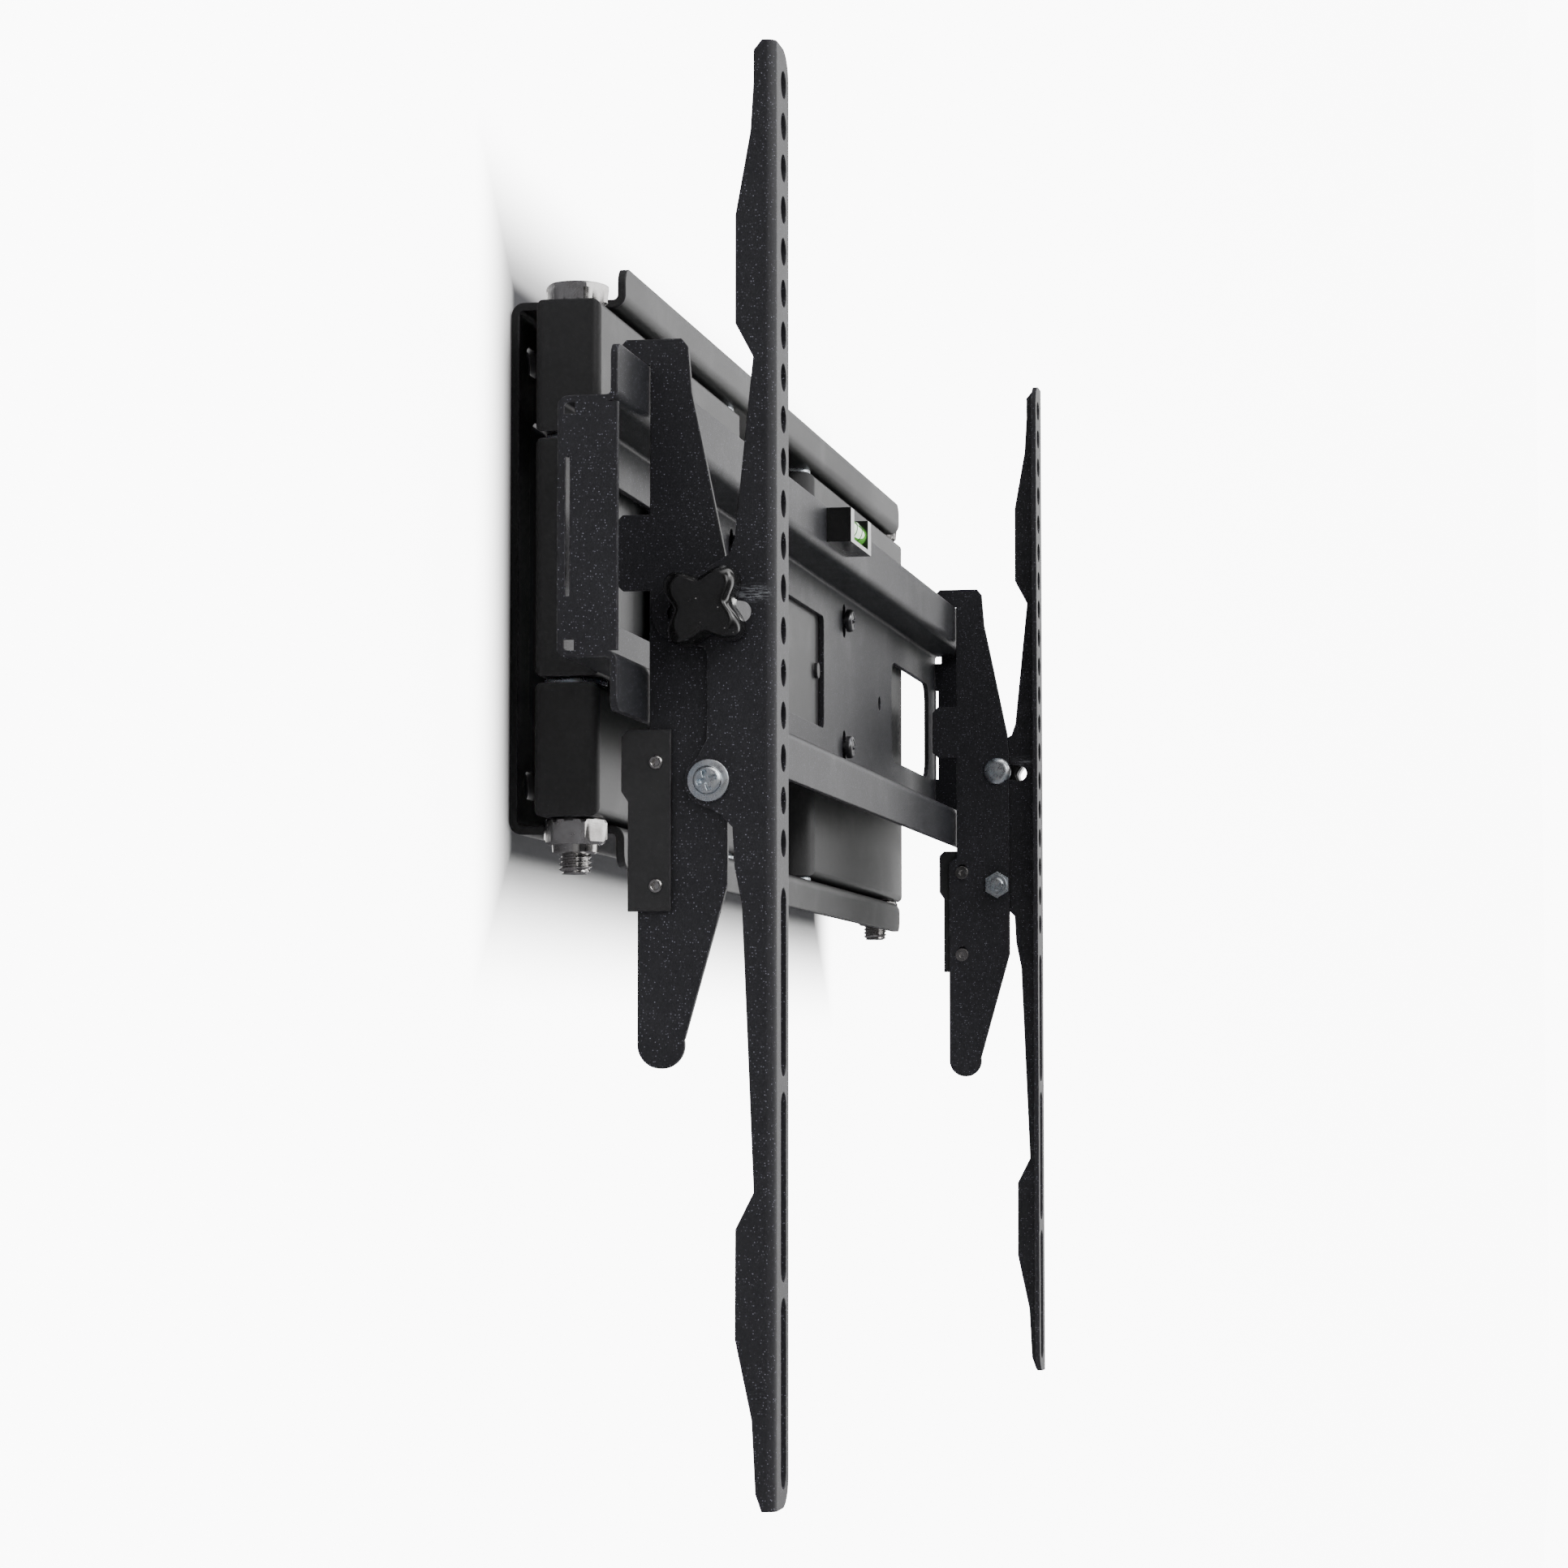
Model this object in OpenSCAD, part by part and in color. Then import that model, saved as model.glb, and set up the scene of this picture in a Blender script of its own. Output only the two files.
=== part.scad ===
// Folding wall mount for a flat screen: a wall plate, two folding arms,
// a head plate, a long cross plate and two tilting hook-on rails.
// The wall is the plane Y = 0, the room is toward -Y and +Z is up.
// Left-hand pieces are drawn at negative X and right-hand ones are their mirror image.

/* [Wall plate] */
// Length of the wall plate
wall_length = 528; // [500:1:536]
// Height over the two flanges of the wall plate
wall_height = 164; // [150:1:190]
// Depth of the wall plate's channel
wall_depth = 36; // [32:0.5:46]
// Height of each turned lip beyond the flange
wall_lip = 10; // [8:0.5:20]
// Sheet thickness of the wall plate
wall_sheet = 2.5; // [2:0.1:3]
// Distance from the plate's edge to a row of wall screws
fix_inset = 16; // [12:0.5:24]
// Distance between the two screw columns
fix_spacing = 406.4; // [395:0.1:412]
// Distance from the plate's end to its outer screw column
fix_end_inset = 16; // [12:0.5:22]
// Width of the wall screw slots
fix_slot_width = 8.5; // [6:0.5:10]
// Length of the main wall screw slots
fix_slot_length = 34; // [20:1:38]

/* [Arms] */
// Length of each arm link between its two axes
link_length = 200; // [170:1:206]
// Distance from the centre to the shoulder axis
shoulder_x = 75; // [60:1:95]
// Depth of the arm tubes
tube_depth = 20; // [18:0.5:22]
// Height of the middle tube
mid_tube_height = 72; // [60:1:88]
// Wall thickness of the tubes
tube_wall = 2; // [1.5:0.1:3]
// Gap between the stacked tubes, filled by a washer
tube_gap = 2; // [1:0.1:3]
// Gap between the arm tubes and the head plate
tube_front_gap = 0.7; // [0.4:0.1:6]
// Length of tube past the elbow axis
elbow_overhang = 13; // [11:0.5:16]
// Radius of the arm bolts and pins
arm_pin_r = 5; // [4:0.1:5.5]
// Width over flats of the elbow bolt's head and nut
arm_hex = 17; // [15:0.5:19]

/* [Cross plate] */
// Length of the cross plate
cross_length = 704; // [690:1:760]
// Height over the two flanges of the cross plate
cross_height = 75; // [72:1:84]
// Height over the two lips of the cross plate
cross_lip_height = 105; // [98:1:126]
// Depth of the cross plate's channel
cross_depth = 17.5; // [16:0.5:22]
// Sheet thickness of the cross plate
cross_sheet = 2; // [1.5:0.1:2.5]
// Gap from the wall plate's front to the cross plate
cross_gap = 0.4; // [0.3:0.1:3]
// Width of the central cut-out
cutout_width = 134; // [110:1:150]
// Height of the central cut-out
cutout_height = 43; // [30:1:46]
// Thickness of the head plate
head_sheet = 2; // [1.5:0.1:2.8]
// Horizontal distance between the head bolts
head_bolt_spacing = 224; // [200:1:236]
// Largest levelling turn each way in degrees
level_turn = 1.5; // [1:0.5:3]

/* [Brackets] */
// Distance between the two lines of screen screws
screen_spacing = 600; // [560:1:620]
// Distance from the cross plate's front to the rail's front face
rail_reach = 38.1; // [36:0.1:46]
// Height of the rail's top edge
rail_top = 148; // [145:1:165]
// Length of the rail
rail_length = 428; // [426:1:520]
// Width of the rail's front flange
rail_width = 21; // [19:0.5:26]
// Sheet thickness of the rail, hook plate and latch
rail_sheet = 2; // [1.6:0.1:2.4]
// Distance from the rail's outer face to the screw line
rail_hole_inset = 13; // [12:0.5:15]
// Number of round screw holes in a rail
rail_holes = 19; // [17:1:19]
// Distance between the round screw holes
rail_hole_pitch = 12.5; // [12:0.1:12.6]
// Width of the round screw holes and of the slots
rail_hole_d = 8.2; // [6:0.1:9]
// Length of each long slot
rail_slot_length = 55; // [40:1:56]
// Distance between the long slots
rail_slot_pitch = 59.5; // [58.5:0.1:60]
// Distance from the rail's front face to the tilt axis
tilt_inset = 19.6; // [18:0.1:21]
// Height of the tilt axis
tilt_z = -70; // [-74:0.5:-68]
// Radius of the tilt slot about the tilt axis
tilt_radius = 50; // [47:0.5:52]
// Largest tilt each way in degrees
tilt_turn = 10; // [5:0.5:10]
// Radius of the tilt screw and the knob's stud
small_pin_r = 3; // [2.5:0.1:3]
// Width across the clamping knob
knob_width = 28; // [20:0.5:32]
// Travel of the safety latch
latch_travel = 2; // [1:0.5:6]

/* [Fits] */
// Radial clearance where a pin runs in a bore
run_clear = 0.05; // [0.03:0.01:0.1]
// Gap between plates that slide or turn past each other
plate_gap = 0.3; // [0.2:0.05:0.5]
// Gap from the outer tubes to the wall plate's flanges, filled by a collar
shoulder_gap = 1.5; // [1:0.1:4]
// Clearance from a head washer to the cross plate's bend at full levelling turn
washer_margin = 0.9; // [0.3:0.1:4]

/* [Hidden] */
$fn = 48;
through = 400;

// Colours of the finishes
satin_black = [0.10, 0.10, 0.11];
powder_black = [0.13, 0.13, 0.14];
plastic_black = [0.05, 0.05, 0.05];
bright_metal = [0.75, 0.75, 0.77];
vial_green = [0.45, 0.85, 0.35];

// Arms
elbow_x = shoulder_x + link_length;
mid_top = mid_tube_height / 2;
outer_low = mid_top + tube_gap;
wall_half = wall_height / 2;
wall_bend = 1.5;
outer_top = wall_half - wall_sheet - shoulder_gap;
collar_gap = 0.2;
tube_edge_r = 2.5;
fix_height = wall_height - 2 * fix_inset;
fix_outer_spacing = wall_length - 2 * fix_end_inset;
fix_outer_length = 15.3;
wall_corner_r = 5;
wall_window_r = 8;
wall_window_height = fix_height - 36;
// Place and width of each pair of cable windows in the wall plate
wall_windows = [[232, 36], [130, 64], [50, 30]];
pin_head_r = 8;
pin_head_height = 4;
pin_end_gap = 0.6;
bolt_head_height = 6.5;
nut_height = 8;
collar_height = 2.8;
collar_r = 7;
thread_end = 6;

// Cross plate and head
cross_y = wall_depth + cross_gap;
cross_front = cross_y + cross_depth;
cross_half = cross_height / 2;
cross_bend = 1.2;
cross_corner_r = 4;
lip_half = cross_lip_height / 2;
head_front = cross_y - 0.2;
head_back = head_front - head_sheet;
arm_y = head_back - tube_front_gap - tube_depth / 2;
head_washer_r = 5.5;
head_washer_height = 1.1;
level_rise = head_bolt_spacing / 2 * sin(level_turn);
head_bolt_rise = 2 * (cross_half - cross_sheet - cross_bend - head_washer_r - level_rise - washer_margin);
head_length = head_bolt_spacing + 28;
head_height = head_bolt_rise + 18;
head_corner_r = 8;
head_boss_r = 3;
head_boss_height = 2;
head_boss_inset = 8;
knuckle_r = tube_depth / 2 - tube_wall - 0.5;
knuckle_neck = 12;
head_bolt_r = 2.5;
head_bolt_head_r = 4.5;
head_bolt_head_height = 3;
level_slot_r = head_bolt_r + head_bolt_rise / 2 * sin(level_turn) + plate_gap;
level_slot_rise = level_rise + plate_gap;
tab_slot_width = 1.2;
tab_slot_height = 40;
tab_slot_inset = 0.4;
tab_relief = [3, 3.3];
// The two cable windows, each from near the centre to near the plate's end
cable_window_from = 228.5;
cable_window_to = cross_length / 2 - 20.5;
cable_window_height = 42;
cable_window_r = 8;
cutout_corner_r = 3;
mark_hole_x = 197;
mark_hole_r = 3;

// Bubble level on the front of the upper lip
level_from = -14;
level_to = 30;
level_low = lip_half - 13;
level_height = 12.5;
level_post = 7;
vial_r = 4;
level_depth = 2 * vial_r + 1;
vial_y = cross_front + vial_r + 0.5;
vial_z = level_low + level_height / 2 + 0.8;

// Brackets
latch_sheet = 1.5;
rail_outer = screen_spacing / 2 + rail_hole_inset;
rail_inner = rail_outer - rail_sheet;
hook_outer = rail_inner - plate_gap;
hook_inner = hook_outer - rail_sheet;
latch_outer = hook_outer + plate_gap + latch_sheet;
first_hole_z = rail_top - 10.7;
last_hole_z = first_hole_z - (rail_holes - 1) * rail_hole_pitch;
first_slot_z = last_hole_z - rail_slot_length / 2 - 13;
rail_front = cross_front + rail_reach;
tilt_y = rail_front - tilt_inset;
hook_top = lip_half + 8;
nose_front = cross_depth - cross_sheet - 5.2;
tongue_r = 7;
tongue_y = cross_front - 3.1;
tongue_z = -146.5;
tongue_top = -lip_half - 5.5;
knob_z = tilt_z + tilt_radius;
slot_r = small_pin_r + plate_gap;
rail_bend = 1;
lip_seat = lip_half + plate_gap;
latch_top = -lip_half - latch_travel - plate_gap;
latch_length = 53;
latch_front = cross_front + 7.1;
latch_rear = cross_front - 7.7;
rivet_y = cross_front + 2.6;
rivet_drops = [9.6, 45.6];
rivet_r = 1.5;
rivet_bore_r = 0.9;
rivet_head_r = 2.1;
rivet_tail_r = 2.8;
rivet_flange = 0.8;

// ---- Shared shapes ----

// Draws a left-hand piece as it is, and a right-hand piece mirrored.
module on_side(right) {
    mirror([right ? 1 : 0, 0, 0]) children();
}

// Mirrors a piece to below the centre plane.
module on_level(lower) {
    mirror([0, 0, lower ? 1 : 0]) children();
}

// Rectangle about the origin with round corners.
module round_rect(wide, tall, r) {
    square([wide - 2 * r, tall], center = true);
    square([wide, tall - 2 * r], center = true);
    for (sx = [-1, 1], sy = [-1, 1])
        translate([sx * (wide / 2 - r), sy * (tall / 2 - r)])
            circle(r);
}

// Quarter of a ring: turns = 0 is the quarter with positive x and y.
module quarter_ring(inner, outer, turns) {
    rotate(90 * turns)
        intersection() {
            difference() {
                circle(outer);
                circle(inner);
            }
            square(outer);
        }
}

// Stands a flat outline up in the YZ plane and gives it a thickness along X.
module along_x(from, to) {
    translate([from, 0, 0]) rotate([90, 0, 90]) linear_extrude(to - from) children();
}

// Stands a flat outline up in the XZ plane and gives it a thickness from Y = -far to -near.
module along_y(near, far) {
    translate([0, -near, 0]) rotate([90, 0, 0]) linear_extrude(far - near) children();
}

// Round pin along X between two places.
module pin_x(from, to, r) {
    translate([from, 0, 0]) rotate([0, 90, 0]) cylinder(r = r, h = to - from);
}

// Obround through hole along Y, long along X or along Z.
module slot_y(length, r, upright) {
    run = length / 2 - r;
    rotate([0, upright ? 90 : 0, 0]) {
        for (s = [-1, 1])
            translate([s * run, 0, 0]) rotate([90, 0, 0]) cylinder(r = r, h = through, center = true);
        cube([2 * run, through, 2 * r], center = true);
    }
}

// Round-cornered through window along Y.
module window_y(wide, tall, r) {
    rotate([90, 0, 0])
        translate([0, 0, -through / 2])
            linear_extrude(through)
                round_rect(wide, tall, r);
}

// Hat section: a web at y = 0, two flanges and two lips turned away from each other.
module hat_profile(depth, half, lip_end, sheet, bend) {
    outer = bend + sheet;
    translate([-sheet, -(half - outer)]) square([sheet, 2 * (half - outer)]);
    for (flip = [0, 1])
        mirror([0, flip]) {
            translate([-outer, half - outer]) quarter_ring(bend, outer, 0);
            translate([-(depth - outer), half - sheet]) square([depth - 2 * outer, sheet]);
            translate([-(depth - outer), half - sheet + outer]) quarter_ring(bend, outer, 2);
            translate([-depth, half - sheet + outer])
                square([sheet, lip_end - half + sheet - outer]);
        }
}

// ---- Wall plate ----

module wall_plate() {
    color(satin_black)
        difference() {
            intersection() {
                along_x(-wall_length / 2, wall_length / 2)
                    hat_profile(wall_depth, wall_half, wall_half + wall_lip, wall_sheet, wall_bend);
                along_y(-1, wall_depth + 1)
                    round_rect(wall_length, wall_height + 2 * wall_lip, wall_corner_r);
            }
            for (sx = [-1, 1]) {
                for (sz = [-1, 1]) {
                    translate([sx * fix_spacing / 2, 0, sz * fix_height / 2])
                        slot_y(fix_slot_length, fix_slot_width / 2, false);
                    translate([sx * fix_outer_spacing / 2, 0, sz * fix_height / 2])
                        slot_y(fix_outer_length, fix_slot_width / 2, false);
                    translate([sx * shoulder_x, -arm_y, sz * wall_half])
                        cylinder(r = arm_pin_r + run_clear, h = 4 * wall_sheet, center = true);
                }
                for (w = wall_windows)
                    translate([sx * w[0], 0, 0]) window_y(w[1], wall_window_height, wall_window_r);
            }
        }
}

// Pin through the flange and the inner end of an upper or lower tube.
module shoulder_pin(right, lower) {
    collar = shoulder_gap - collar_gap;
    color(bright_metal)
        on_side(right) on_level(lower)
            translate([-shoulder_x, -arm_y, 0]) {
                translate([0, 0, outer_low + pin_end_gap])
                    cylinder(r = arm_pin_r, h = wall_half - outer_low - pin_end_gap);
                translate([0, 0, wall_half])
                    cylinder(r1 = pin_head_r, r2 = pin_head_r - 1.5, h = pin_head_height);
                translate([0, 0, outer_top + collar_gap]) cylinder(r = pin_head_r, h = collar);
            }
}

// ---- Arms ----

// Hollow tube from the inner axis to past the elbow, round at its inner end.
module tube_body(low, high) {
    half = tube_depth / 2;
    far = elbow_x + elbow_overhang;
    translate([0, -arm_y, 0])
        difference() {
            intersection() {
                along_x(-far, -shoulder_x + half)
                    translate([0, (low + high) / 2])
                        round_rect(tube_depth, high - low, tube_edge_r);
                translate([0, 0, low])
                    linear_extrude(high - low) {
                        translate([-shoulder_x, 0]) circle(half);
                        translate([-(far + shoulder_x) / 2, 0])
                            round_rect(far - shoulder_x, tube_depth, tube_edge_r);
                        translate([-shoulder_x - half, -half]) square([half, tube_depth]);
                    }
            }
            along_x(-far + tube_wall, -shoulder_x)
                translate([0, (low + high) / 2])
                    square([tube_depth - 2 * tube_wall, high - low - 2 * tube_wall], center = true);
            translate([-shoulder_x, 0, low + tube_wall])
                cylinder(r = half - tube_wall, h = high - low - 2 * tube_wall);
            for (x = [-shoulder_x, -elbow_x])
                translate([x, 0, low - 1])
                    cylinder(r = arm_pin_r + run_clear, h = high - low + 2);
        }
}

module outer_tube(right, lower) {
    color(satin_black)
        on_side(right) on_level(lower) tube_body(outer_low, outer_top);
}

// The middle tube is open at its inner end, where the head's knuckle turns.
module middle_tube(right) {
    open_height = mid_tube_height - 2 * tube_wall;
    color(satin_black)
        on_side(right)
            difference() {
                tube_body(-mid_top, mid_top);
                translate([-shoulder_x - knuckle_neck / 2 - 1.5, -arm_y - tube_depth, -open_height / 2])
                    cube([tube_depth + knuckle_neck, 1.5 * tube_depth - tube_wall, open_height]);
            }
}

module elbow_bolt(right) {
    low = -outer_top - nut_height - collar_height - thread_end;
    color(bright_metal)
        on_side(right)
            translate([-elbow_x, -arm_y, 0]) {
                translate([0, 0, low]) cylinder(r = arm_pin_r, h = outer_top - low);
                translate([0, 0, outer_top])
                    cylinder(r = arm_hex / 2 / cos(30), h = bolt_head_height, $fn = 6);
            }
}

module elbow_nut(right) {
    color(bright_metal)
        on_side(right)
            translate([-elbow_x, -arm_y, -outer_top - nut_height])
                difference() {
                    union() {
                        cylinder(r = arm_hex / 2 / cos(30), h = nut_height, $fn = 6);
                        translate([0, 0, -collar_height]) cylinder(r = collar_r, h = collar_height);
                    }
                    translate([0, 0, -collar_height - 1])
                        cylinder(r = arm_pin_r + run_clear, h = nut_height + collar_height + 2);
                }
}

module elbow_washer(right, lower) {
    color(bright_metal)
        on_side(right) on_level(lower)
            translate([-elbow_x, -arm_y, mid_top + plate_gap / 2])
                difference() {
                    cylinder(r = tube_depth / 2 - 0.5, h = tube_gap - plate_gap / 2);
                    translate([0, 0, -1]) cylinder(r = arm_pin_r + run_clear, h = tube_gap + 2);
                }
}

// ---- Head ----

// Plate behind the cross plate, with an upright knuckle for each arm.
module head_plate() {
    knuckle_height = mid_tube_height - 2 * tube_wall - 2 * plate_gap;
    color(satin_black)
        difference() {
            union() {
                along_y(head_back, head_front) round_rect(head_length, head_height, head_corner_r);
                for (sx = [-1, 1]) {
                    translate([sx * shoulder_x, -arm_y, 0])
                        cylinder(r = knuckle_r, h = knuckle_height, center = true);
                    translate([sx * shoulder_x - knuckle_neck / 2, -head_back, -knuckle_height / 2])
                        cube([knuckle_neck, head_back - arm_y, knuckle_height]);
                    translate([sx * (cutout_width / 2 - head_boss_inset), -head_front + 0.5, 0])
                        rotate([90, 0, 0]) cylinder(r = head_boss_r, h = head_boss_height);
                }
            }
            for (sx = [-1, 1]) {
                translate([sx * shoulder_x, -arm_y, 0])
                    cylinder(r = arm_pin_r + run_clear / 2, h = mid_tube_height, center = true);
                for (sz = [-1, 1])
                    translate([sx * head_bolt_spacing / 2, -head_front, sz * head_bolt_rise / 2])
                        rotate([90, 0, 0])
                            cylinder(r = head_bolt_r + run_clear / 2, h = 3 * head_sheet, center = true);
            }
        }
}

module head_pin(right) {
    color(bright_metal)
        on_side(right)
            translate([-shoulder_x, -arm_y, 0])
                cylinder(r = arm_pin_r, h = mid_tube_height - 2 * pin_end_gap, center = true);
}

// Screw and washer that hold the cross plate to the head through an upright slot.
module head_bolt(right, lower) {
    seat = cross_y + cross_sheet + 0.05;
    color(bright_metal)
        on_side(right) on_level(lower)
            translate([-head_bolt_spacing / 2, 0, head_bolt_rise / 2])
                rotate([90, 0, 0]) {
                    translate([0, 0, head_back]) cylinder(r = head_bolt_r, h = seat - head_back);
                    translate([0, 0, seat]) cylinder(r = head_washer_r, h = head_washer_height);
                    translate([0, 0, seat + head_washer_height])
                        cylinder(r1 = head_bolt_head_r, r2 = head_bolt_head_r - 1,
                                 h = head_bolt_head_height);
                }
}

// ---- Cross plate ----

// End tab bent from the web, with a thin slot along the bend and relieved corners.
module end_tab() {
    tab_half = cross_half - cross_sheet;
    web_front = -cross_y - cross_sheet;
    along_x(-cross_length / 2, -cross_length / 2 + cross_sheet)
        difference() {
            translate([-cross_front, -tab_half]) square([cross_depth, 2 * tab_half]);
            translate([web_front - tab_slot_inset - tab_slot_width, -tab_slot_height / 2])
                square([tab_slot_width, tab_slot_height]);
            for (flip = [0, 1])
                mirror([0, flip])
                    translate([web_front - tab_relief[0], tab_half - tab_relief[1]]) square(tab_relief);
        }
}

module cross_plate() {
    color(powder_black) {
        difference() {
            intersection() {
                along_x(-cross_length / 2, cross_length / 2)
                    translate([-cross_y, 0])
                        hat_profile(cross_depth, cross_half, lip_half, cross_sheet, cross_bend);
                along_y(cross_y - 1, cross_front + 1)
                    round_rect(cross_length, cross_lip_height, cross_corner_r);
            }
            window_y(cutout_width, cutout_height, cutout_corner_r);
            for (sx = [-1, 1]) {
                for (sz = [-1, 1])
                    translate([sx * head_bolt_spacing / 2, 0, sz * head_bolt_rise / 2])
                        slot_y(2 * level_slot_r + 2 * level_slot_rise, level_slot_r, true);
                translate([sx * mark_hole_x, 0, 0])
                    rotate([90, 0, 0]) cylinder(r = mark_hole_r, h = through, center = true);
                translate([sx * (cable_window_from + cable_window_to) / 2, 0, 0])
                    window_y(cable_window_to - cable_window_from, cable_window_height, cable_window_r);
            }
        }
        end_tab();
        mirror([1, 0, 0]) end_tab();
    }
}

module level_holder() {
    color(plastic_black)
        difference() {
            translate([level_from, -cross_front - level_depth, level_low])
                cube([level_to - level_from, level_depth, level_height]);
            translate([level_from + level_post, -cross_front - level_depth - 1, level_low + 1.6])
                cube([level_to - level_from - 2 * level_post, level_depth - 1, level_height]);
            translate([0, -vial_y, vial_z])
                pin_x(level_from + 2, level_to - 2, vial_r + run_clear);
        }
}

module level_vial() {
    color(vial_green)
        translate([0, -vial_y, vial_z])
            pin_x(level_from + 2.2, level_to - 2.2, vial_r);
}

// ---- Brackets ----

// Outline of the hook plate in the YZ plane, with its points measured from the cross plate's front.
module hook_outline() {
    behind_lip = cross_sheet + plate_gap;
    difference() {
        union() {
            translate([-cross_front, 0])
                polygon([
                    [9.4, hook_top - 2.5], [6.9, hook_top], [-9.6, hook_top],
                    [-11.6, hook_top - 2.5], [-12.7, 44.5], [-16, 29], [-22.7, -3.4],
                    [-23.5, -12], [-23.5, -100], [-21.5, -107.2],
                    [3.1 - 2 * tongue_r, tongue_z + 1.6], [3.1, tongue_z], [3.1, tongue_top - 2],
                    [-plate_gap, tongue_top], [-plate_gap, -13.7], [nose_front - 2.4, -13.7],
                    [nose_front, -11.3], [nose_front, 6.2], [nose_front - 2.4, 8.6],
                    [-plate_gap, 8.6], [-plate_gap, lip_seat], [behind_lip, lip_seat],
                    [behind_lip, lip_seat - 5], [9.4, lip_seat - 3]
                ]);
            translate([-tongue_y - tongue_r, tongue_z]) circle(tongue_r);
        }
        for (drop = rivet_drops)
            translate([-rivet_y, latch_top - drop]) {
                for (rise = [0, latch_travel])
                    translate([0, rise]) circle(rivet_r + plate_gap);
                translate([-rivet_r - plate_gap, 0])
                    square([2 * (rivet_r + plate_gap), latch_travel]);
            }
        for (z = [tilt_z, knob_z])
            translate([-tilt_y, z]) circle(small_pin_r + run_clear);
    }
}

module hook_plate(right) {
    color(powder_black)
        on_side(right) along_x(-hook_outer, -hook_inner) hook_outline();
}

module tilt_screw(right) {
    head_from = rail_outer + plate_gap + 1.2;
    color(bright_metal)
        on_side(right)
            translate([0, -tilt_y, tilt_z]) {
                pin_x(-head_from, -hook_inner + 6.5, small_pin_r);
                rotate([0, -90, 0])
                    translate([0, 0, head_from]) cylinder(r1 = 5.2, r2 = 3.6, h = 2.6);
            }
}

module tilt_washer(right) {
    color(bright_metal)
        on_side(right)
            translate([0, -tilt_y, tilt_z])
                difference() {
                    pin_x(-rail_outer - plate_gap - 1.2, -rail_outer - plate_gap, 6.2);
                    pin_x(-rail_outer - 5, -rail_outer + 5, small_pin_r + run_clear);
                }
}

module tilt_nut(right) {
    color(bright_metal)
        on_side(right)
            translate([-hook_inner, -tilt_y, tilt_z])
                rotate([0, 90, 0])
                    difference() {
                        union() {
                            cylinder(r = 5 / cos(30), h = 4, $fn = 6);
                            translate([0, 0, 4]) cylinder(r = 4.4, h = 1.6);
                        }
                        translate([0, 0, -1]) cylinder(r = small_pin_r + run_clear, h = 8);
                    }
}

// Fixed stud that the knob clamps on, with its head on the inner face.
module knob_stud(right) {
    color(bright_metal)
        on_side(right)
            translate([0, -tilt_y, knob_z]) {
                pin_x(-rail_outer - 12, -hook_inner, small_pin_r);
                rotate([0, 90, 0])
                    translate([0, 0, -hook_inner]) cylinder(r1 = 6, r2 = 4.5, h = 2.4);
            }
}

module knob(right) {
    thick = 14;
    base = rail_outer + plate_gap;
    color(plastic_black)
        on_side(right)
            translate([-base, -tilt_y, knob_z])
                rotate([0, -90, 0])
                    difference() {
                        union() {
                            cylinder(r = knob_width * 0.28, h = thick);
                            for (turn = [45 : 90 : 315])
                                rotate(turn)
                                    translate([knob_width * 0.32, 0, 3])
                                        cylinder(r = knob_width * 0.17, h = thick - 4);
                        }
                        translate([0, 0, -1]) cylinder(r = small_pin_r + run_clear, h = 13.5);
                    }
}

// Depths of the rail's rear edge behind its front face, from top to bottom.
module rail_outline() {
    bottom = rail_top - rail_length;
    front = -rail_front;
    difference() {
        union() {
            polygon([
                [front + rail_bend, rail_top], [front + 4, rail_top], [front + 6.5, rail_top - 3],
                [front + 6.5, rail_top - 12], [front + 7.4, rail_top - 27],
                [front + 11.9, rail_top - 52], [front + 11.9, rail_top - 84],
                [front + 6.6, rail_top - 94], [front + 12, 1], [front + 13.7, -4],
                [-tilt_y + 8, knob_z + 8.2], [-tilt_y + 12, knob_z - 9],
                [-tilt_y + 1.5, knob_z - 11], [-tilt_y + 0.6, knob_z - 13],
                [-tilt_y + 0.6, tilt_z + 12], [-tilt_y + 7.3, tilt_z], [-tilt_y + 2, tilt_z - 7.2],
                [-tilt_y - 3, tilt_z - 9.5], [-tilt_y - 7, tilt_z - 13.6], [front + 12, -95],
                [front + 9.8, -106], [front + 6.3, bottom + 91], [front + 11.7, bottom + 80.4],
                [front + 11.8, bottom + 49], [front + 6.9, bottom + 26], [front + 5.8, bottom + 5],
                [front + 4, bottom], [front + rail_bend, bottom]
            ]);
            translate([-tilt_y, tilt_z]) circle(7.4);
            translate([-tilt_y, tilt_z])
                rotate(-tilt_turn) translate([0, tilt_radius]) circle(slot_r + 5.2);
        }
        translate([-tilt_y, tilt_z]) {
            circle(small_pin_r + run_clear);
            intersection() {
                difference() {
                    circle(tilt_radius + slot_r, $fn = 96);
                    circle(tilt_radius - slot_r, $fn = 96);
                }
                polygon([[0, 0], [90 * sin(tilt_turn + 0.6), 90], [-90 * sin(tilt_turn + 0.6), 90]]);
            }
            for (s = [-1, 1])
                rotate(s * (tilt_turn + 0.6)) translate([0, tilt_radius]) circle(slot_r);
        }
    }
}

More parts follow.
